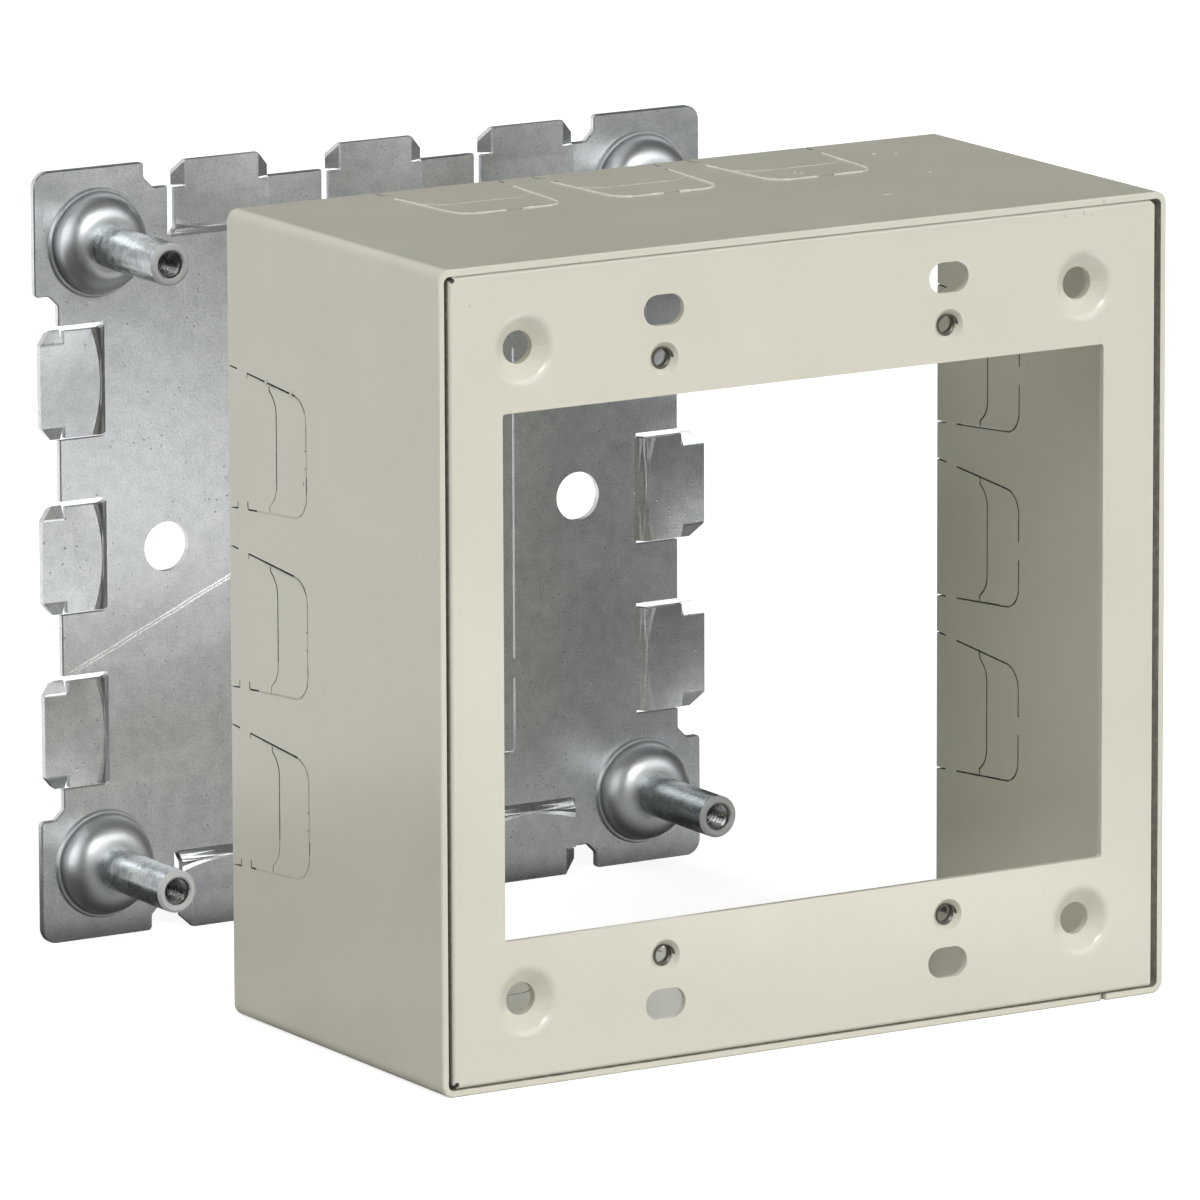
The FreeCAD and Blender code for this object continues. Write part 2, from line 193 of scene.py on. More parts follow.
PAINT_LIPS = {
    "left": (("side", -1, 0.14, 0.74, 0.13), ("side", 1, 0.62, 0.80, 0.05)),
    "right": (("side", 1, 0.1, 0.8, 0.10), ("side", -1, 0.5, 0.9, 0.07)),
    "top": (),
    "bottom": (("side", -1, 0.0, 0.9, 0.10), ("side", 1, 0.3, 0.9, 0.08)),
}

# Lumps of paint: place in millimetres, outward direction, radius and height
PAINT_LUMPS = (
    ((46.2, -62.7, 58.4), (0, 0, 1), 0.35, 0.14),
    ((48.8, -64.3, 58.4), (0, 0, 1), 0.35, 0.14),
    ((28.6, -69.7, 58.4), (0, 0, 1), 0.30, 0.12),
    ((29.4, -70.3, 58.4), (0, 0, 1), 0.30, 0.12),
    ((30.1, -91.4, 58.4), (0, 0, 1), 0.70, 0.07),
    ((44.8, -79.5, 58.4), (0, 0, 1), 0.35, 0.08),
    ((53.8, -109.7, 58.1), (0, -0.7, 0.7), 0.45, 0.42),
    ((-31.0, -109.8, 57.9), (0, -0.7, 0.7), 0.40, 0.12),
    ((-48.1, -109.7, 53.3), (0, -1, 0), 0.30, 0.10),
    ((50.9, -109.7, 56.5), (0, -1, 0), 0.30, 0.12),
    ((47.6, -109.7, 56.4), (0, -1, 0), 0.25, 0.10),
    ((52.1, -109.7, 56.2), (0, -1, 0), 0.25, 0.10),
    ((-53.3, -63.3, 35.8), (-1, 0, 0), 0.40, 0.16),
    ((-53.3, -70.2, 35.2), (-1, 0, 0), 0.45, 0.16),
    ((-53.3, -73.3, 23.2), (-1, 0, 0), 0.30, 0.14),
)


class Wire:
    """One shader socket, so that a material reads as sums and products."""

    def __init__(self, graph, socket):
        self.graph = graph
        self.socket = socket

    def __add__(self, other):
        return self.graph.math("ADD", self, other)

    def __radd__(self, other):
        return self.graph.math("ADD", other, self)

    def __sub__(self, other):
        return self.graph.math("SUBTRACT", self, other)

    def __rsub__(self, other):
        return self.graph.math("SUBTRACT", other, self)

    def __mul__(self, other):
        return self.graph.math("MULTIPLY", self, other)

    def __rmul__(self, other):
        return self.graph.math("MULTIPLY", other, self)

    def __truediv__(self, other):
        return self.graph.math("DIVIDE", self, other)

    def __rtruediv__(self, other):
        return self.graph.math("DIVIDE", other, self)


class Graph:
    """The nodes of one material or of the world."""

    def __init__(self, tree):
        self.tree = tree
        tree.nodes.clear()

    def node(self, kind, settings=None, inputs=None, output=0):
        """A node with its settings, then the values or links of its sockets."""
        made = self.tree.nodes.new(kind)
        for name, value in (settings or {}).items():
            if name == "stops":
                self.set_stops(made.color_ramp, value)
            else:
                setattr(made, name, value)
        for name, value in (inputs or {}).items():
            if isinstance(value, Wire):
                self.tree.links.new(value.socket, made.inputs[name])
            else:
                made.inputs[name].default_value = value
        return Wire(self, made.outputs[output]) if made.outputs else None

    def set_stops(self, ramp, stops):
        while len(ramp.elements) < len(stops):
            ramp.elements.new(1.0)
        for element, (place, grey) in zip(ramp.elements, stops):
            element.position = place
            element.color = (grey, grey, grey, 1.0)

    def math(self, operation, *values):
        return self.node("ShaderNodeMath", {"operation": operation}, dict(enumerate(values)))

    def absolute(self, value):
        return self.math("ABSOLUTE", value)

    def below(self, value, limit, softness):
        """1 where the value is under the limit, 0 where it is over."""
        return self.clamped((limit - value) / softness + 0.5)

    def near(self, value, middle, half_width, softness):
        """1 where the value is within half a width of the middle, 0 where it is farther off."""
        return self.below(self.absolute(value - middle), half_width, softness)

    def clamped(self, value):
        return self.math("MINIMUM", self.math("MAXIMUM", value, 0.0), 1.0)

    def ramp(self, value, *stops):
        """Grey levels between places from 0 to 1."""
        return self.node("ShaderNodeValToRGB", {"stops": stops}, {"Fac": value})

    def mix(self, factor, first, second):
        """A colour between two colours."""
        return self.node("ShaderNodeMix", {"data_type": "RGBA"},
                         {0: factor, 6: first, 7: second}, output=2)

    def millimetres(self):
        """The place on the object, in millimetres."""
        place = self.node("ShaderNodeTexCoord", output="Object")
        return self.node("ShaderNodeVectorMath", {"operation": "SCALE"},
                         {0: place, "Scale": 1 / MM})

    def along(self, place, direction):
        """How far a place, or a normal, lies along a direction."""
        return self.node("ShaderNodeVectorMath", {"operation": "DOT_PRODUCT"},
                         {0: place, 1: direction}, output="Value")

    def stretched(self, place, scale):
        """A place scaled by a factor of its own along each axis."""
        return self.node("ShaderNodeVectorMath", {"operation": "MULTIPLY"},
                         {0: place, 1: scale})

    def noise(self, place, size, detail=2.0, roughness=0.5):
        return self.node("ShaderNodeTexNoise", {"noise_dimensions": "3D"},
                         {"Vector": place, "Scale": 1 / size, "Detail": detail,
                          "Roughness": roughness})

    def cells(self, place, size):
        """Distance to the nearest of many scattered points, in cells."""
        return self.node("ShaderNodeTexVoronoi", {"voronoi_dimensions": "3D"},
                         {"Vector": place, "Scale": 1 / size, "Randomness": 1.0},
                         output="Distance")

    def bump(self, height, distance):
        return self.node("ShaderNodeBump", {},
                         {"Height": height, "Distance": distance, "Strength": 1.0})

    def surface(self, shader):
        self.node("ShaderNodeOutputMaterial", {}, {"Surface": shader})


def new_material(name):
    material = bpy.data.materials.new(name)
    material.use_nodes = True
    return material, Graph(material.node_tree)


def colour(rgb):
    return (*rgb, 1.0)


def plain_material(name, rgb, roughness, metallic=0.0):
    """A material of one colour."""
    material, graph = new_material(name)
    graph.surface(graph.node("ShaderNodeBsdfPrincipled", {}, {
        "Base Color": colour(rgb), "Roughness": roughness, "Metallic": metallic}))
    return material


def painted_slit_and_crevice_shade(graph, place):
    """Painted shade: 1 on the walls of the knockouts' slits and of the crevice round the panel.
    """
    normal = graph.node("ShaderNodeTexCoord", output="Normal")
    across = graph.absolute(graph.along(place, (1, 0, 0)) - COVER_MIDDLE_X)
    up = graph.absolute(graph.along(place, (0, 0, 1)) - COVER_MIDDLE_Z)
    y = graph.along(place, (0, 1, 0))
    facing_side = graph.absolute(graph.along(normal, (1, 0, 0)))
    facing_end = graph.absolute(graph.along(normal, (0, 0, 1)))
    facing_front = graph.absolute(graph.along(normal, (0, 1, 0)))
    in_side_wall = graph.below(SIDE_WALL_INSIDE, across, EDGE_FADE)
    in_end_wall = graph.below(END_WALL_INSIDE, up, EDGE_FADE)
    upright = graph.clamped(1 - facing_side * in_side_wall - facing_end * in_end_wall)
    in_reach = (graph.below(y, COVER_BACK - 0.2, EDGE_FADE)
                * graph.below(COVER_BACK - KNOCKOUT_DEPTH - 0.4, y, EDGE_FADE))
    slit = graph.clamped((upright - 0.6) * 10) * in_reach
    beside = graph.math("MAXIMUM",
                        graph.below(SIDE_WALL_INSIDE - SIDE_CREVICE, across, EDGE_FADE),
                        graph.below(END_WALL_INSIDE - END_CREVICE, up, EDGE_FADE))
    inside = (graph.below(across, SIDE_WALL_INSIDE + EDGE_FADE, EDGE_FADE)
              * graph.below(up, END_WALL_INSIDE + EDGE_FADE, EDGE_FADE))
    crevice = (graph.below(y, CREVICE_BACK, 0.2) * graph.below(facing_front, 0.6, 0.2)
               * beside * inside)
    return graph.math("MAXIMUM", slit, 0.65 * crevice)


def make_enamel(finish):
    """Ivory enamel: even and half glossy, with a fine orange peel and a few specks."""
    material, graph = new_material("ivory_enamel")
    place = graph.millimetres()
    peel = graph.noise(place, finish.peel_size / MM, detail=1.0)
    cloud = graph.noise(place, ENAMEL_CLOUDS)
    dust = graph.noise(place, ENAMEL_DUST, detail=3.0)
    specks = graph.ramp(graph.cells(place, ENAMEL_SPECK_SPACING), (0.0, 1.0), (0.026, 0.0))
    shade = graph.ramp(cloud, (0.30, 0.0), (0.70, 1.0))
    base = graph.mix(shade, colour(finish.shade_colour), colour(finish.colour))
    base = graph.mix(specks * dust, base, colour(finish.speck_colour))
    # Painted shade, partly also bare sheet where little paint reaches: the walls of the slits and
    # of the crevice round the panel go dark in mottled patches.
    patchy = graph.ramp(graph.noise(place, SLIT_PATCHES), (0.35, 0.75), (0.55, 1.0))
    painted_shade = painted_slit_and_crevice_shade(graph, place)
    base = graph.mix(painted_shade * patchy, base, colour(finish.painted_slit_shade_colour))
    shader = graph.node("ShaderNodeBsdfPrincipled", {}, {
        "Base Color": base,
        "Roughness": finish.roughness + 0.05 * cloud + 0.4 * painted_shade,
        "Specular IOR Level": finish.gloss,
        "Normal": graph.bump(peel + 0.35 * specks, finish.peel_depth)})
    graph.surface(shader)
    return material


def grain_and_specks(graph, place):
    """Zinc's fine grain from 0 to 1, and its small soft dark specks."""
    fine = graph.noise(place, FINE_GRAIN, roughness=0.65)
    coarse = graph.noise(place, COARSE_GRAIN, detail=3.0)
    grain = 0.65 * fine + 0.35 * coarse
    scatter = graph.ramp(graph.noise(place, SPECK_CLUSTERS), (0.42, 0.0), (0.62, 1.0))
    specks = graph.ramp(graph.cells(place, SPECK_SPACING), (0.05, 1.0), (0.17, 0.0))
    return grain, specks * scatter


def score_mark(graph, place, finish):
    """The bright double score across the left of the plate."""
    start = Vector(finish.score_start) / MM
    end = Vector(finish.score_end) / MM
    run = (end - start).normalized()
    across = Vector((-run.z, 0.0, run.x))
    offset = graph.along(place, across) - across.dot(start)
    reach = graph.along(place, run) - run.dot(start)
    inside = graph.ramp(reach / (end - start).length,
                        (0.0, 0.0), (0.02, 1.0), (0.98, 1.0), (1.0, 0.0))
    wander = 0.5 * (graph.noise(place, SCORE_WANDER) - 0.5)
    width = finish.score_width / MM
    gap = finish.score_gap / MM
    lines = None
    for side in (-0.5, 0.5):
        distance = graph.absolute(offset + wander - side * gap)
        line = graph.ramp(distance / (2 * width), (0.3, 1.0), (0.5, 0.0))
        lines = line if lines is None else graph.math("MAXIMUM", lines, line)
    return lines * inside


def tongue_bow(graph, out, along, root, finish):
    """How far one edge's tongues lie below their straight ramps: their crests are bowed."""
    across = graph.math("WRAP", along, WALL_PITCH / 2, -WALL_PITCH / 2)
    share = across * (2 / TONGUE_WIDTH)
    bow = share * share
    rise = out - root
    straight = graph.ramp(rise / (4 * TONGUE_RAMP),
                          (0.0, 0.0), (0.06, 0.15), (0.19, 0.85), (0.25, 1.0))
    crest = TONGUE_RAMP + finish.tongue_bow / MM * bow
    bowed = graph.ramp(rise / (4 * crest),
                       (0.0, 0.0), (0.06, 0.15), (0.19, 0.85), (0.27, 1.0))
    dish = finish.tongue_dish / MM * (1 - bow) * graph.clamped(rise / 6)
    on_tongue = (graph.below(graph.absolute(across), TONGUE_WIDTH / 2, EDGE_FADE)
                 * graph.below(graph.absolute(along), WALL_PITCH * 1.5, EDGE_FADE)
                 * graph.below(root - 0.3, out, EDGE_FADE))
    return (TONGUE_RAISE * (bowed - straight) - dish) * on_tongue


def boss_distance(graph, x, z):
    """Distance from the middle of the nearest boss, in millimetres."""
    across = graph.absolute(x) - BOSS_PLACE
    up = graph.absolute(z) - BOSS_PLACE
    return graph.math("SQRT", across * across + up * up)


def make_galvanised(finish):
    """Galvanised sheet: finely grained and glossy, with small dark specks and one score. Its
    bosses are smoother and darker, with a line of painted shade round their foot."""
    material, graph = new_material("galvanised_sheet")
    place = graph.millimetres()
    x = graph.along(place, (1, 0, 0))
    z = graph.along(place, (0, 0, 1))
    grain, specks = grain_and_specks(graph, place)
    lines = score_mark(graph, place, finish)
    distance = boss_distance(graph, x, z)
    on_boss = graph.below(distance, BOSS_RADIUS, 0.3)
    specks = specks * (1 - on_boss)
    base = graph.mix(graph.ramp(grain, (0.36, 0.0), (0.64, 1.0)),
                     colour(finish.dark_colour), colour(finish.colour))
    base = graph.mix(0.7 * on_boss, base, colour(finish.boss_colour))
    # Painted shade: a dark line round the foot of each boss.
    painted_foot_shade = graph.near(distance, BOSS_WALL_RADIUS, 0.16, 0.2)
    base = graph.mix(0.6 * painted_foot_shade, base, colour(finish.speck_colour))
    base = graph.mix(0.75 * specks, base, colour(finish.speck_colour))
    base = graph.mix(0.8 * lines, base, colour(finish.score_colour))
    rings = graph.noise(graph.stretched(distance, (5.0, 5.0, 5.0)), 1.0)
    waves = graph.noise(place, finish.wave_size / MM, detail=1.0)
    height = (finish.grain_depth / MM * (grain - 0.8 * specks) * (1 - 0.75 * on_boss)
              + finish.ring_depth / MM * rings * on_boss
              + finish.wave_depth / MM * waves
              + tongue_bow(graph, graph.absolute(x), z, SIDE_TONGUE_ROOT, finish)
              + tongue_bow(graph, graph.absolute(z), x, END_TONGUE_ROOT, finish))
    shader = graph.node("ShaderNodeBsdfPrincipled", {}, {
        "Base Color": base,
        "Metallic": finish.metallic - 0.3 * specks,
        "Roughness": finish.roughness + 0.1 * (grain - 0.5) - 0.1 * lines + 0.10 * on_boss,
        "Normal": graph.bump(height, MM)})
    graph.surface(shader)
    return material


def make_turned_zinc(finish):
    """Turned and zinc-plated posts: fine marks round them, a matt end and a dark bore. The
    lower right one is darkened with painted shade."""
    material, graph = new_material("turned_zinc")
    place = graph.millimetres()
    x = graph.along(place, (1, 0, 0))
    z = graph.along(place, (0, 0, 1))
    radius = boss_distance(graph, x, z)
    in_bore = graph.below(radius, POST_BORE / 2 + 0.03, 0.04)
    normal = graph.node("ShaderNodeTexCoord", output="Normal")
    facing = graph.absolute(graph.along(normal, (0, 1, 0)))
    on_end = graph.clamped((facing - 0.5) * 8) * (1 - in_bore)
    marks = graph.noise(graph.stretched(place, (0.25, 5.0, 0.25)), 1.0, detail=3.0)
    stain = graph.noise(place, POST_STAINS, detail=4.0, roughness=0.6)
    base = graph.mix(graph.ramp(0.35 * marks + 0.65 * stain, (0.38, 0.0), (0.62, 1.0)),
                     colour(finish.post_dark_colour), colour(finish.post_colour))
    # Painted shade: the lower right post is made darker.
    lower_right = graph.below(0.0, x, EDGE_FADE) * graph.below(z, 0.0, EDGE_FADE)
    base = graph.mix(finish.lower_right_post_shade * lower_right, base, colour(finish.lower_right_shade_colour))
    base = graph.mix(on_end, base, colour(finish.end_colour))
    base = graph.mix(in_bore, base, colour(finish.bore_colour))
    shader = graph.node("ShaderNodeBsdfPrincipled", {}, {
        "Base Color": base,
        "Metallic": finish.post_metallic - 0.75 * on_end,
        "Roughness": finish.post_roughness + 0.2 * (stain - 0.5) + 0.25 * on_end,
        "Normal": graph.bump(marks + 0.5 * stain, finish.mark_depth)})
    graph.surface(shader)
    return material


def dress(names, material):
    """Gives a material to pieces of the frame."""
    for name in names:
        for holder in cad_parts[name].material_slots:
            holder.material = material


def place_piece(name, mesh, material):
    """A new object of the box that moves with it."""
    piece = bpy.data.objects.new(name, mesh)
    bpy.context.scene.collection.objects.link(piece)
    mesh.materials.append(material)
    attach(piece, BODY)


def sweep(shape, rings):
    """Joins rings of points, one after another, into a closed tube with capped ends."""
    rows = [[shape.verts.new(point) for point in ring] for ring in rings]
    count = len(rows[0])
    for near, far in zip(rows, rows[1:]):
        for i in range(count):
            j = (i + 1) % count
            shape.faces.new((near[i], near[j], far[j], far[i]))
    shape.faces.new(rows[0][::-1])
    shape.faces.new(rows[-1])


def finished_mesh(name, shape, smooth=True):
    bmesh.ops.recalc_face_normals(shape, faces=shape.faces)
    mesh = bpy.data.meshes.new(name)
    shape.to_mesh(mesh)
    shape.free()
    for face in mesh.polygons:
        face.use_smooth = smooth
    return mesh


def thread_mesh(name, mouth, bore, length, thread):
    """A helical ridge inside a bore that runs back along +y from its mouth."""
    pitch = thread.pitch
    turns = length / pitch - 1
    steps = int(turns * THREAD_STEPS_PER_TURN)
    root = bore / 2 + THREAD_SINK * MM
    crest = bore / 2 - thread.depth
    taper_steps = THREAD_STEPS_PER_TURN // 3
    rings = []
    for step in range(steps + 1):
        angle = math.tau * step / THREAD_STEPS_PER_TURN
        growth = min(1.0, step / taper_steps, (steps - step) / taper_steps)
        inner = root + (crest - root) * max(growth, 0.05)
        depth = pitch * (0.5 + step / THREAD_STEPS_PER_TURN)
        outward = Vector((math.cos(angle), 0.0, math.sin(angle)))
        section = ((root, -THREAD_FOOT), (inner, -THREAD_CREST),
                   (inner, THREAD_CREST), (root, THREAD_FOOT))
        rings.append([mouth + outward * radius + Vector((0.0, depth + share * pitch, 0.0))
                      for radius, share in section])
    shape = bmesh.new()
    sweep(shape, rings)
    return finished_mesh(name, shape, smooth=False)


def wall_frames():
    """Middle of the back edge, direction along it and outward normal of each wall."""
    low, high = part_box("cover_wrap")
    middle = (low + high) / 2
    back = high.y
    return {
        "left": (Vector((low.x, back, middle.z)), Vector((0, 0, -1)), Vector((-1, 0, 0))),
        "right": (Vector((high.x, back, middle.z)), Vector((0, 0, 1)), Vector((1, 0, 0))),
        "top": (Vector((middle.x, back, high.z)), Vector((-1, 0, 0)), Vector((0, 0, 1))),
        "bottom": (Vector((middle.x, back, low.z)), Vector((1, 0, 0)), Vector((0, 0, -1)))}


def add_run(points, target, spacing):
    """Adds evenly spaced points from the last one straight to a target."""
    first = points[-1]
    run = target - first
    steps = max(1, round(run.length / spacing))
    points.extend(first + run * (i + 1) / steps for i in range(steps))


def rounded_path(corners, radii, spacing=0.6):
    """Points along straight runs, with each inner corner rounded by its radius."""
    points = [corners[0]]
    for before, corner, after, radius in zip(corners, corners[1:], corners[2:], radii):
        if not radius:
            add_run(points, corner, spacing)
            continue
        back = (before - corner).normalized()
        ahead = (after - corner).normalized()
        half = back.angle(ahead) / 2
        centre = corner + (back + ahead).normalized() * (radius / math.sin(half))
        reach = radius / math.tan(half)
        near = corner + back * reach - centre
        far = corner + ahead * reach - centre
        add_run(points, centre + near, spacing)
        turn = near.angle(far)
        steps = max(2, round(radius * turn / spacing))
        for i in range(1, steps + 1):
            share = i / steps
            points.append(centre + (near * math.sin((1 - share) * turn)
                                    + far * math.sin(share * turn)) / math.sin(turn))
    add_run(points, corners[-1], spacing)
    return points


def knockout_slits():
    """A knockout's long side slit and its inner step, as places along the wall and in from
    its back edge."""
    back = KNOCKOUT_BACK_WIDTH / 2
    front = KNOCKOUT_FRONT_WIDTH / 2
    slope = (front - back) / KNOCKOUT_DEPTH
    side = rounded_path(
        [Vector((back + slope * SIDE_NIB_END, SIDE_NIB_END)), Vector((front, KNOCKOUT_DEPTH)),
         Vector((FRONT_NIB, KNOCKOUT_DEPTH))], [KNOCKOUT_CORNER])
    start = back + slope * STEP_SHOULDER_DEPTH
    half = [Vector((start, STEP_SHOULDER_DEPTH)),
            Vector((start - STEP_SHOULDER, STEP_SHOULDER_DEPTH)),
            Vector((STEP_HALF_WIDTH, STEP_DEPTH))]
    step = rounded_path([Vector((-p.x, p.y)) for p in half] + half[::-1],
                        [0, STEP_CORNER, STEP_CORNER, 0])
    return {"side": side, "step": step}


def knockout_ticks():
    """Short cuts at the ends of a knockout's slits, and the score across its front nib: start,
    end and width."""
    back = KNOCKOUT_BACK_WIDTH / 2
    slope = (KNOCKOUT_FRONT_WIDTH / 2 - back) / KNOCKOUT_DEPTH
    near = back + slope * SIDE_NIB_END
    far = back + slope * SIDE_NIB_START
    return (((-near, SIDE_NIB_END), (-near + 0.75, SIDE_NIB_END), 0.16),
            ((near, SIDE_NIB_END), (near - 1.1, SIDE_NIB_END - 0.1), 0.24),
            ((far, SIDE_NIB_START), (far - 1.0, SIDE_NIB_START), 0.18),
            ((-FRONT_NIB, KNOCKOUT_DEPTH), (-FRONT_NIB + 0.1, KNOCKOUT_DEPTH - 0.5), 0.12),
            ((FRONT_NIB, KNOCKOUT_DEPTH), (FRONT_NIB - 0.1, KNOCKOUT_DEPTH - 0.5), 0.12),
            ((-FRONT_NIB, KNOCKOUT_DEPTH), (FRONT_NIB, KNOCKOUT_DEPTH), 0.08))


def bead_rings(points, wall_frame, sections):
    """Sections drawn as (across, outward), in millimetres, stood along points on a wall."""
    origin, along, outward = wall_frame
    inward = Vector((0.0, -1.0, 0.0))
    rings = []
    for i, point in enumerate(points):
        before = points[max(i - 1, 0)]
        after = points[min(i + 1, len(points) - 1)]
        run = (after - before).normalized()
        middle = origin + (along * point.x + inward * point.y) * MM
        across = along * -run.y + inward * run.x
        rings.append([middle + (across * a + outward * h) * MM for a, h in sections[i]])
    return rings


def lip_sections(count, side, height, lip, chance):
    """A bead of paint that swells and thins along a slit, on one side of it."""
    sections = []
    middle = side * lip.inset / MM
    for i in range(count):
        growth = min(1.0, i / 2, (count - 1 - i) / 2)
        top = height * (0.12 + 0.88 * growth) * chance.uniform(0.55, 1.2)
        width = lip.width / MM * (0.35 + 0.65 * growth) * chance.uniform(0.8, 1.15)
        sections.append([(middle - width / 2, -LIP_SINK), (middle - width * 0.3, top * 0.75),
                         (middle, top), (middle + width * 0.3, top * 0.75),
                         (middle + width / 2, -LIP_SINK)])
    return sections


def bridge_sections(count, height, lip, chance):
    """Paint that fills a slit, either sunk below the sheet's face or raised as a ridge."""
    sections = []
    half = lip.slit_width / MM / 2 + 0.02
    for i in range(count):
        top = height * chance.uniform(0.6, 1.3)
        if height < 0:
            sections.append([(-half, -BRIDGE_DEPTH), (-half, top), (0.0, top * 0.6),
                             (half, top), (half, -BRIDGE_DEPTH)])
        else:
            foot = half + 0.05
            sections.append([(-half, -BRIDGE_DEPTH), (-foot, -0.01), (0.0, top),
                             (foot, -0.01), (half, -BRIDGE_DEPTH)])
    return sections


def flat_sections(count, width):
    """A thin strip on a wall, for the painted shade of a short cut."""
    return [[(-width / 2, -0.02), (-width / 2, 0.012), (width / 2, 0.012),
             (width / 2, -0.02)]] * count


def stretch(points, start, end, chance):
    """The points between two shares of a path, whose ends wander a little."""
    last = len(points) - 1
    first = round(last * max(0.0, start + chance.uniform(-0.03, 0.03) * (start > 0)))
    final = round(last * min(1.0, end + chance.uniform(-0.03, 0.03) * (end < 1)))
    return points[first:final + 1]


def paint_meshes(wall, lip, chance):
    """One wall's beads of paint, the paint that bridges its slits, and strips of painted shade
    for its short cuts.
    """
    wall_frame = wall_frames()[wall]
    slits = knockout_slits()
    shapes = {name: bmesh.new() for name in ("paint_lips", "paint_bridges", "cut_shade_strips")}
    for number in range(KNOCKOUTS_PER_WALL):
        shift = Vector(((number - (KNOCKOUTS_PER_WALL - 1) / 2) * WALL_PITCH, 0.0))
        for slit, hand, start, end, height in PAINT_LIPS[wall]:
            points = [shift + Vector((hand * p.x, p.y))
                      for p in stretch(slits[slit], start, end, chance)]
            sections = lip_sections(len(points), hand, height, lip, chance)
            sweep(shapes["paint_lips"], bead_rings(points, wall_frame, sections))
        for slit, hand, start, end, height in PAINT_BRIDGES[wall]:
            points = [shift + Vector((hand * p.x, p.y))
                      for p in stretch(slits[slit], start, end, chance)]
            sections = bridge_sections(len(points), height, lip, chance)
            sweep(shapes["paint_bridges"], bead_rings(points, wall_frame, sections))
        # Strips of painted shade where the short cuts are.
        for start, end, width in knockout_ticks():
            points = [shift + Vector(start), shift + Vector(end)]
            sweep(shapes["cut_shade_strips"],
                  bead_rings(points, wall_frame, flat_sections(2, width)))
    return {name: finished_mesh(f"{name}_{wall}", shape, smooth=name == "paint_lips")
            for name, shape in shapes.items() if len(shape.faces)}


def lump_mesh(name, lumps, chance):
    """Low domes of paint."""
    shape = bmesh.new()
    sides = 10
    for place, outward, radius, height in lumps:
        profile = ((1.0, -0.02), (0.8, 0.5 * height), (0.45, 0.9 * height), (0.1, height))
        up = Vector(outward).normalized()
        right = up.orthogonal().normalized()
        ahead = up.cross(right)
        middle = Vector(place) * MM
        rings = []
        for share, rise in profile:
            ring = []
            for i in range(sides):
                angle = math.tau * i / sides
                reach = radius * share * chance.uniform(0.85, 1.15)
                ring.append(middle + (right * math.cos(angle) * reach
                                      + ahead * math.sin(angle) * reach + up * rise) * MM)
            rings.append(ring)
        sweep(shape, rings)
    return finished_mesh(name, shape)


def colour_setting(name, description, default):
    return FloatVectorProperty(name=name, description=description, default=default,
                               subtype="COLOR", min=0.0, max=1.0)


def place_setting(name, description, default):
    return FloatVectorProperty(name=name, description=description, default=default,
                               subtype="XYZ", unit="LENGTH")


def length_setting(name, description, default):
    return FloatProperty(name=name, description=description, default=default,
                         subtype="DISTANCE", unit="LENGTH", precision=6)


def angle_setting(name, description, default):
    return FloatProperty(name=name, description=description, default=default, unit="ROTATION")


def share_setting(name, description, default):
    """A value from 0 to 1."""
    return FloatProperty(name=name, description=description, default=default, min=0.0, max=1.0)


def strength_setting(name, description, default):
    return FloatProperty(name=name, description=description, default=default, min=0.0)


class EnamelSettings(bpy.types.PropertyGroup):
    """Colours and surface of the painted pieces."""

    colour: colour_setting("Colour", "Colour of the ivory enamel", (0.706, 0.686, 0.584))
    shade_colour: colour_setting(
        "Shade", "Slightly darker tone the enamel drifts to", (0.682, 0.663, 0.562))
    speck_colour: colour_setting(
        "Specks", "Colour of the small specks in the enamel", (0.86, 0.85, 0.78))
    # Painted shade deep in the slits and the crevice round the panel, partly also bare sheet
    # where little paint reaches.
    painted_slit_shade_colour: colour_setting(
        "Slits", "Colour deep in the slits, where little paint reaches", (0.055, 0.05, 0.04))
    roughness: share_setting("Roughness", "Roughness of the enamel", 0.16)
    gloss: share_setting("Gloss", "Strength of the enamel's reflection", 0.42)
    peel_size: length_setting("Peel size", "Size of the orange peel", 1.6 * MM)
    peel_depth: length_setting("Peel depth", "Depth of the orange peel", 0.012 * MM)


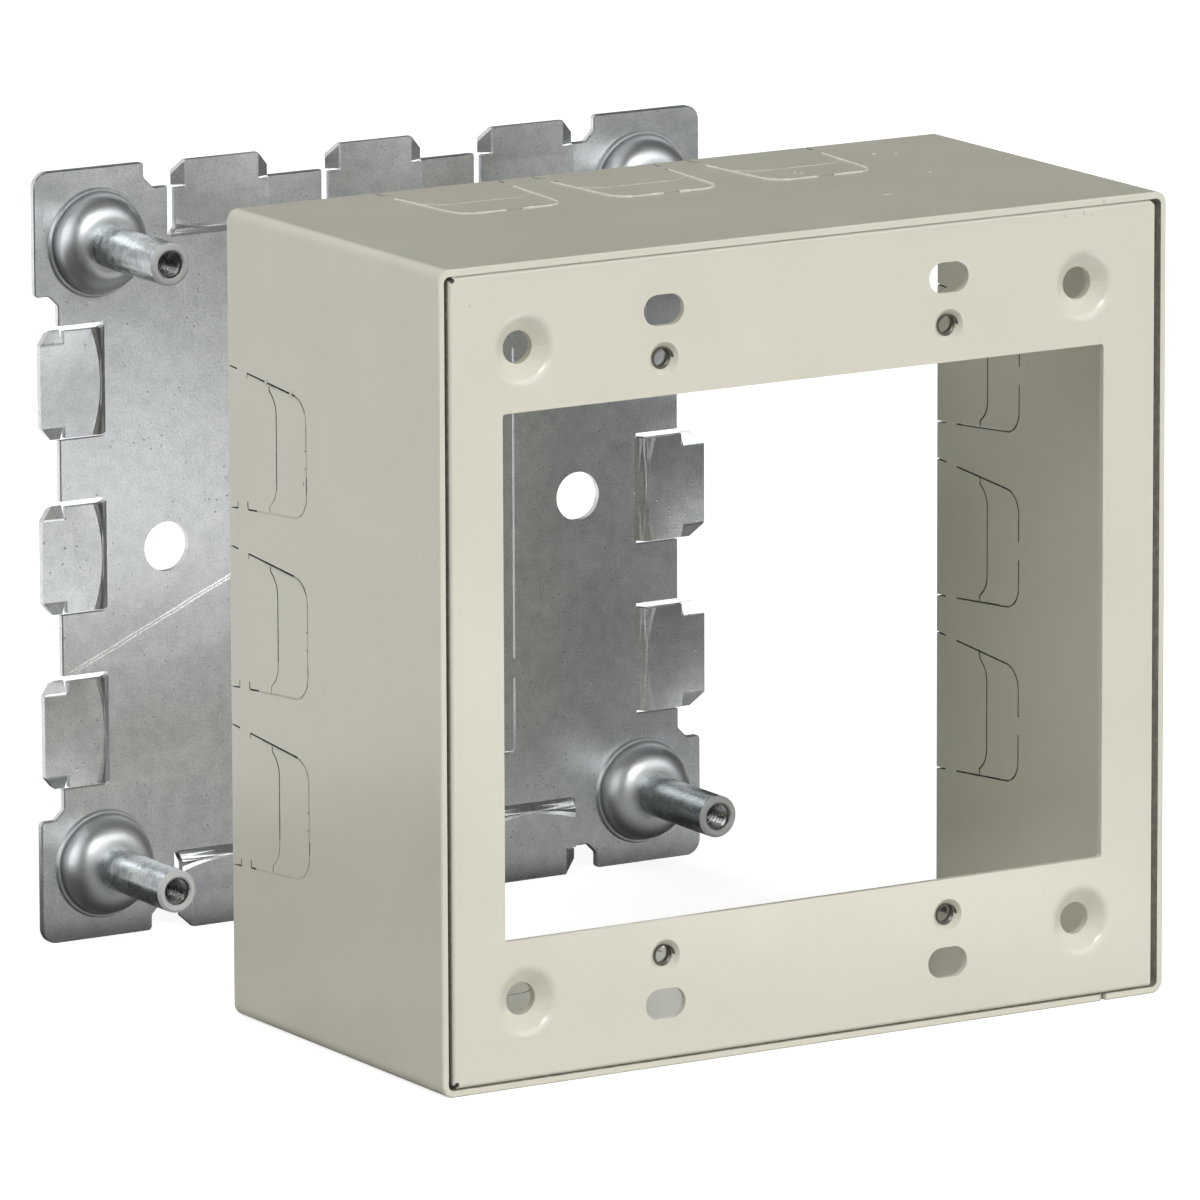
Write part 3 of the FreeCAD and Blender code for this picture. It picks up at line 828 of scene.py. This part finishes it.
class ZincSettings(bpy.types.PropertyGroup):
    """Colours and surface of the galvanised plate and the plated posts."""

    colour: colour_setting("Sheet", "Lighter tone of the galvanised sheet", (0.70, 0.72, 0.725))
    dark_colour: colour_setting(
        "Sheet grain", "Darker tone of the sheet's grain", (0.50, 0.525, 0.54))
    boss_colour: colour_setting("Bosses", "Colour of the drawn bosses", (0.52, 0.545, 0.56))
    speck_colour: colour_setting(
        "Sheet specks", "Colour of the sheet's small dark specks", (0.12, 0.13, 0.14))
    score_colour: colour_setting("Score", "Colour of the bright score", (0.90, 0.91, 0.91))
    score_start: place_setting(
        "Score start", "Where the score begins on the plate", (-51.2 * MM, -1.0 * MM, -17.3 * MM))
    score_end: place_setting(
        "Score end", "Where the score ends on the plate", (-10.0 * MM, -1.0 * MM, 0.7 * MM))
    score_width: length_setting("Score width", "Width of each line of the score", 0.16 * MM)
    score_gap: length_setting("Score gap", "Distance between the score's two lines", 0.45 * MM)
    metallic: share_setting("Metallic", "How metallic the sheet looks", 0.9)
    roughness: share_setting("Roughness", "Roughness of the sheet", 0.30)
    grain_depth: length_setting("Grain depth", "Depth of the sheet's grain", 0.03 * MM)
    wave_size: length_setting("Wave size", "Length of the sheet's slow waves", 9.0 * MM)
    wave_depth: length_setting("Wave depth", "Depth of the sheet's slow waves", 0.12 * MM)
    ring_depth: length_setting("Ring depth", "Depth of the marks round the bosses", 0.008 * MM)
    tongue_bow: length_setting(
        "Tongue bow", "How much longer a tongue's ramp is at its edges", 1.3 * MM)
    tongue_dish: length_setting(
        "Tongue dish", "How far a tongue's middle is pressed in", 0.3 * MM)
    post_colour: colour_setting("Post", "Lighter tone of the plated posts", (0.52, 0.545, 0.555))
    post_dark_colour: colour_setting(
        "Post marks", "Darker tone of the posts' turning marks", (0.28, 0.305, 0.315))
    # Painted shade: how far the lower right post is darkened.
    lower_right_post_shade: share_setting("Dull post", "How dull the lower right post is", 0.7)
    # Painted shade: the colour the lower right post is darkened to.
    lower_right_shade_colour: colour_setting(
        "Dull", "Colour that the lower right post has dulled to", (0.20, 0.22, 0.225))
    end_colour: colour_setting("Post end", "Colour of a post's sawn end", (0.60, 0.61, 0.60))
    bore_colour: colour_setting("Bore", "Colour of the posts' bores", (0.38, 0.39, 0.39))
    post_metallic: share_setting("Post metallic", "How metallic the posts look", 0.92)
    post_roughness: share_setting("Post roughness", "Roughness of the posts", 0.27)
    mark_depth: length_setting("Mark depth", "Depth of the turning marks", 0.006 * MM)


class ThreadSettings(bpy.types.PropertyGroup):
    """The screw threads."""

    pitch: length_setting("Pitch", "Distance between two turns", 0.79 * MM)
    depth: length_setting("Depth", "Height of the thread above the bore", 0.34 * MM)
    # Partly bare tapped steel, partly painted shade of the device holes.
    tapped_and_hole_shade_colour: colour_setting(
        "Tapped holes", "Colour of the threads in the device holes", (0.20, 0.19, 0.165))


class LipSettings(bpy.types.PropertyGroup):
    """The paint along the knockouts, and the painted shade of the short cuts at their slits'
    ends.
    """

    width: length_setting("Width", "Width of a bead of paint", 0.22 * MM)
    inset: length_setting("Inset", "How far inside the slit a bead lies", 0.23 * MM)
    slit_width: length_setting("Slit width", "Width of the slits that paint bridges", 0.24 * MM)
    # Painted shade: colour of the strips that stand for the short cuts.
    cut_shade_colour: colour_setting(
        "Ticks", "Colour of the short cuts at the slits' ends", (0.10, 0.095, 0.08))
    seed: IntProperty(name="Seed", description="Changes the beads' unevenness", default=11)


class StageSettings(bpy.types.PropertyGroup):
    """Camera, world and floor."""

    azimuth: angle_setting("Azimuth", "Camera's angle round the box", math.radians(-31.258))
    elevation: angle_setting("Elevation", "Camera's angle above the floor", math.radians(11.738))
    roll: angle_setting("Roll", "Camera's lean to one side", math.radians(-0.210))
    aim: place_setting(
        "Aim", "Point in the middle of the picture", (-22.83 * MM, -101.44 * MM, 8.51 * MM))
    distance: length_setting("Distance", "Camera's distance from its aim", 1708.9 * MM)
    lens: FloatProperty(
        name="Lens", description="Focal length on a 36 mm sensor, in millimetres", default=375.0)
    ambient: strength_setting("Ambient", "Light that reaches the box from all round", 0.04)
    cards: strength_setting("Cards", "Brightness of the cards that light the box", 1.0)
    mirrored: strength_setting(
        "Mirrored cards", "Brightness of the cards that the metal mirrors", 1.0)
    dim: strength_setting("Dim", "What the metal mirrors between the cards", 0.02)
    floor_size: length_setting("Floor size", "Side of the floor", 12.0)
    floor_grey: share_setting("Floor grey", "How pale the floor is", 0.6)
    floor_glow: strength_setting(
        "Floor glow", "White that the camera sees on the floor besides its shade", 0.72)
    floor_shine: strength_setting(
        "Floor shine", "What the metal mirrors of the lit patch before the box", 2.5)
    floor_back: strength_setting(
        "Floor back", "What the metal mirrors of the floor behind the box", 1.3)
    floor_between: strength_setting(
        "Floor between", "What the metal mirrors of the floor under the gap", 0.20)
    floor_foot: strength_setting(
        "Floor foot", "What the metal mirrors of the floor before the plate", 0.36)
    floor_dim: strength_setting(
        "Floor dim", "What the metal mirrors of the floor beside the box", 0.03)


class OUTLETBOX_OT_enamel_cover(bpy.types.Operator):
    """Paint the cover's wrap and front panel with ivory enamel"""

    bl_idname = "outletbox.enamel_cover"
    bl_label = "Enamel the cover"

    def execute(self, context):
        enamel = make_enamel(context.scene.outletbox_enamel)
        dress(("cover_wrap", "front_panel"), enamel)
        return {"FINISHED"}


class OUTLETBOX_OT_galvanise_plate(bpy.types.Operator):
    """Give the base plate its galvanised surface with grain, specks and a score"""

    bl_idname = "outletbox.galvanise_plate"
    bl_label = "Galvanise the plate"

    def execute(self, context):
        dress(("base_plate",), make_galvanised(context.scene.outletbox_zinc))
        return {"FINISHED"}


class OUTLETBOX_OT_plate_posts(bpy.types.Operator):
    """Give the posts turned and plated surfaces, and cut their threads"""

    bl_idname = "outletbox.plate_posts"
    bl_label = "Plate and thread the posts"

    def execute(self, context):
        zinc = make_turned_zinc(context.scene.outletbox_zinc)
        dress(POSTS, zinc)
        for post in POSTS:
            low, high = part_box(post)
            mouth = Vector(((low.x + high.x) / 2, low.y, (low.z + high.z) / 2))
            name = post.replace("post", "thread")
            mesh = thread_mesh(name, mouth, POST_BORE * MM, POST_THREAD_LENGTH * MM,
                               context.scene.outletbox_thread)
            place_piece(name, mesh, zinc)
        return {"FINISHED"}


class OUTLETBOX_OT_tap_device_holes(bpy.types.Operator):
    """Cut the threads of the four device holes in the front panel"""

    bl_idname = "outletbox.tap_device_holes"
    bl_label = "Tap the device holes"

    def execute(self, context):
        low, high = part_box("cover_wrap")
        middle = (low + high) / 2
        thread = context.scene.outletbox_thread
        # The threads' dark colour is partly bare tapped steel and partly painted shade of the
        # hole.
        tapped = plain_material("tapped_steel_and_hole_shade", thread.tapped_and_hole_shade_colour, 0.35, metallic=0.6)
        for row, rise in (("top", 0.5), ("bottom", -0.5)):
            for side, reach in (("left", -0.5), ("right", 0.5)):
                mouth = Vector((middle.x + reach * GANG_PITCH * MM, low.y + PANEL_RECESS * MM,
                                middle.z + rise * DEVICE_HOLE_SPACING * MM))
                name = f"device_thread_{row}_{side}"
                mesh = thread_mesh(name, mouth, DEVICE_BORE * MM, DEVICE_COLLAR * MM, thread)
                place_piece(name, mesh, tapped)
        return {"FINISHED"}


class OUTLETBOX_OT_paint_lips(bpy.types.Operator):
    """Lay the paint along and in the knockouts' slits, and mark the slits' ends with painted
    shade
    """

    bl_idname = "outletbox.paint_lips"
    bl_label = "Paint along the knockouts"

    def execute(self, context):
        lip = context.scene.outletbox_lip
        chance = random.Random(lip.seed)
        enamel = bpy.data.materials["ivory_enamel"]
        # The short cuts are strips of painted shade.
        dark = plain_material("painted_cut_shade", lip.cut_shade_colour, 0.7)
        for wall in wall_frames():
            for name, mesh in paint_meshes(wall, lip, chance).items():
                material = dark if name == "cut_shade_strips" else enamel
                place_piece(f"{name}_{wall}", mesh, material)
        return {"FINISHED"}


class OUTLETBOX_OT_paint_lumps(bpy.types.Operator):
    """Set the small lumps of paint on the cover"""

    bl_idname = "outletbox.paint_lumps"
    bl_label = "Set the lumps of paint"

    def execute(self, context):
        chance = random.Random(context.scene.outletbox_lip.seed)
        mesh = lump_mesh("paint_lumps", PAINT_LUMPS, chance)
        place_piece("paint_lumps", mesh, bpy.data.materials["ivory_enamel"])
        return {"FINISHED"}


class OUTLETBOX_OT_set_stage(bpy.types.Operator):
    """Set up the camera, the world and the floor"""

    bl_idname = "outletbox.set_stage"
    bl_label = "Set the stage"

    def execute(self, context):
        stage = context.scene.outletbox_stage
        context.scene.view_settings.view_transform = "Standard"
        place_camera(stage)
        light_world(stage)
        lay_floor(stage)
        return {"FINISHED"}


def place_camera(stage):
    """Stands the camera back from its aim, at its two angles and its lean."""
    back = Vector((math.sin(stage.azimuth) * math.cos(stage.elevation),
                   -math.cos(stage.azimuth) * math.cos(stage.elevation),
                   math.sin(stage.elevation)))
    level = Vector((math.cos(stage.azimuth), math.sin(stage.azimuth), 0.0))
    upright = back.cross(level)
    right = level * math.cos(stage.roll) + upright * math.sin(stage.roll)
    up = upright * math.cos(stage.roll) - level * math.sin(stage.roll)
    data = bpy.data.cameras.new("camera")
    data.lens = stage.lens
    data.sensor_width = 36.0
    camera = bpy.data.objects.new("camera", data)
    turn = Matrix((right, up, back)).transposed()
    place = Vector(stage.aim) + back * stage.distance
    camera.matrix_world = Matrix.Translation(place) @ turn.to_4x4()
    bpy.context.scene.collection.objects.link(camera)
    bpy.context.scene.camera = camera


def ray_kind(graph, *rays):
    """1 for any of the kinds of ray, 0 for the rest."""
    total = 0.0
    for ray in rays:
        total = graph.node("ShaderNodeLightPath", output=ray) + total
    return graph.clamped(total)


def mirrored_ray(graph):
    """1 for a mirrored ray that no matt surface has scattered on its way."""
    scattered = graph.node("ShaderNodeLightPath", output="Diffuse Depth")
    return ray_kind(graph, "Is Glossy Ray") * graph.below(scattered, 0.5, 0.1)


def card_light(graph, place, cards):
    """Soft-edged round cards of light on the sky: azimuth, elevation, half width and strength."""
    total = 0.0
    for azimuth, elevation, half_width, strength in cards:
        turn = math.radians(azimuth)
        rise = math.radians(elevation)
        direction = (math.sin(turn) * math.cos(rise), -math.cos(turn) * math.cos(rise),
                     math.sin(rise))
        facing = graph.along(place, direction)
        edge = math.cos(math.radians(half_width))
        inner = math.cos(math.radians(half_width * 0.6))
        total = graph.clamped((facing - edge) / (inner - edge)) * strength + total
    return total


def light_world(stage):
    """White to look at, soft cards of light on the box, and what its metal mirrors."""
    world = bpy.data.worlds.new("studio")
    world.use_nodes = True
    bpy.context.scene.world = world
    graph = Graph(world.node_tree)
    place = graph.node("ShaderNodeTexCoord", output="Generated")
    plain = card_light(graph, place, PLAIN_CARDS) * stage.cards + stage.ambient
    mirrored = card_light(graph, place, MIRRORED_CARDS) * stage.mirrored + stage.dim
    glossy = mirrored_ray(graph)
    seen = ray_kind(graph, "Is Camera Ray", "Is Transmission Ray")
    strength = (plain * (1 - glossy) + mirrored * glossy) * (1 - seen) + seen
    sky = graph.node("ShaderNodeBackground", {}, {"Color": (1, 1, 1, 1), "Strength": strength})
    graph.node("ShaderNodeOutputWorld", {}, {"Surface": sky})


def mirrored_floor(graph, stage):
    """What the metal mirrors of the floor: bright ahead and behind, and dim beside the box."""
    place = graph.node("ShaderNodeTexCoord", output="Object")
    x = graph.along(place, (1.0, 0.0, 0.0))
    y = graph.along(place, (0.0, 1.0, 0.0))
    run = Vector(PATCH_RUN)
    across = Vector(PATCH_ACROSS)
    middle = Vector(PATCH_MIDDLE)
    patch = (graph.near(graph.along(place, run), run.dot(middle),
                        PATCH_HALF_LENGTH, PATCH_END_FADE)
             * graph.near(graph.along(place, across), across.dot(middle),
                          PATCH_HALF_WIDTH, PATCH_SIDE_FADE))
    behind = graph.clamped((y - BEHIND_START) / BEHIND_FADE)
    between = graph.near(y, GAP_MIDDLE, GAP_HALF_WIDTH, STRIP_FADE)
    foot = (graph.near(y, FOOT_MIDDLE, FOOT_HALF_WIDTH, STRIP_FADE)
            * graph.below(FOOT_LEFT, x, FOOT_LEFT_FADE)
            * graph.below(x, FOOT_RIGHT, FOOT_RIGHT_FADE))
    return (patch * stage.floor_shine + behind * stage.floor_back
            + between * stage.floor_between + foot * stage.floor_foot + stage.floor_dim)


def make_floor(stage):
    """A pale floor that looks white to the camera and still takes the shadow."""
    material, graph = new_material("pale_floor")
    grain = graph.noise(graph.millimetres(), FLOOR_GRAIN)
    tone = graph.mix(0.03 * grain, colour([stage.floor_grey] * 3), (1.0, 1.0, 1.0, 1.0))
    matt = graph.node("ShaderNodeBsdfDiffuse", {}, {"Color": tone})
    seen = ray_kind(graph, "Is Camera Ray", "Is Transmission Ray")
    glow = graph.node("ShaderNodeEmission", {},
                      {"Color": (1, 1, 1, 1), "Strength": stage.floor_glow * seen})
    lit = graph.node("ShaderNodeAddShader", {}, {0: matt, 1: glow})
    mirrored = graph.node("ShaderNodeEmission", {}, {
        "Color": mirrored_floor(graph, stage), "Strength": 1.0})
    graph.surface(graph.node("ShaderNodeMixShader", {},
                             {0: mirrored_ray(graph), 1: lit, 2: mirrored}))
    return material


def lay_floor(stage):
    """A square floor under the box."""
    half = stage.floor_size / 2
    level = cad_box[0].z
    shape = bmesh.new()
    corners = ((-half, -half), (half, -half), (half, half), (-half, half))
    shape.faces.new([shape.verts.new((x, y, level)) for x, y in corners])
    mesh = finished_mesh("floor", shape, smooth=False)
    mesh.materials.append(make_floor(stage))
    floor = bpy.data.objects.new("floor", mesh)
    bpy.context.scene.collection.objects.link(floor)


STEPS = (OUTLETBOX_OT_enamel_cover, OUTLETBOX_OT_galvanise_plate, OUTLETBOX_OT_plate_posts,
         OUTLETBOX_OT_tap_device_holes, OUTLETBOX_OT_paint_lips, OUTLETBOX_OT_paint_lumps,
         OUTLETBOX_OT_set_stage)
SETTINGS = {"outletbox_enamel": EnamelSettings, "outletbox_zinc": ZincSettings,
            "outletbox_thread": ThreadSettings, "outletbox_lip": LipSettings,
            "outletbox_stage": StageSettings}


class OUTLETBOX_PT_panel(bpy.types.Panel):
    """The steps of the finish, in their order"""

    bl_idname = "OUTLETBOX_PT_panel"
    bl_label = "Outlet Box"
    bl_space_type = "VIEW_3D"
    bl_region_type = "UI"
    bl_category = "Outlet Box"

    def draw(self, context):
        for step in STEPS:
            self.layout.operator(step.bl_idname)
        for name, group in SETTINGS.items():
            box = self.layout.box()
            box.label(text=group.__doc__)
            for value in group.__annotations__:
                box.prop(getattr(context.scene, name), value)


def register():
    for group in SETTINGS.values():
        bpy.utils.register_class(group)
    for step in STEPS:
        bpy.utils.register_class(step)
    bpy.utils.register_class(OUTLETBOX_PT_panel)
    for name, group in SETTINGS.items():
        setattr(bpy.types.Scene, name, PointerProperty(type=group))


def unregister():
    for name in SETTINGS:
        delattr(bpy.types.Scene, name)
    bpy.utils.unregister_class(OUTLETBOX_PT_panel)
    for step in reversed(STEPS):
        bpy.utils.unregister_class(step)
    for group in reversed(SETTINGS.values()):
        bpy.utils.unregister_class(group)


def main():
    register()
    bpy.ops.outletbox.enamel_cover()
    bpy.ops.outletbox.galvanise_plate()
    bpy.ops.outletbox.plate_posts()
    bpy.ops.outletbox.tap_device_holes()
    bpy.ops.outletbox.paint_lips()
    bpy.ops.outletbox.paint_lumps()
    bpy.ops.outletbox.set_stage()


if __name__ == "__main__":
    main()
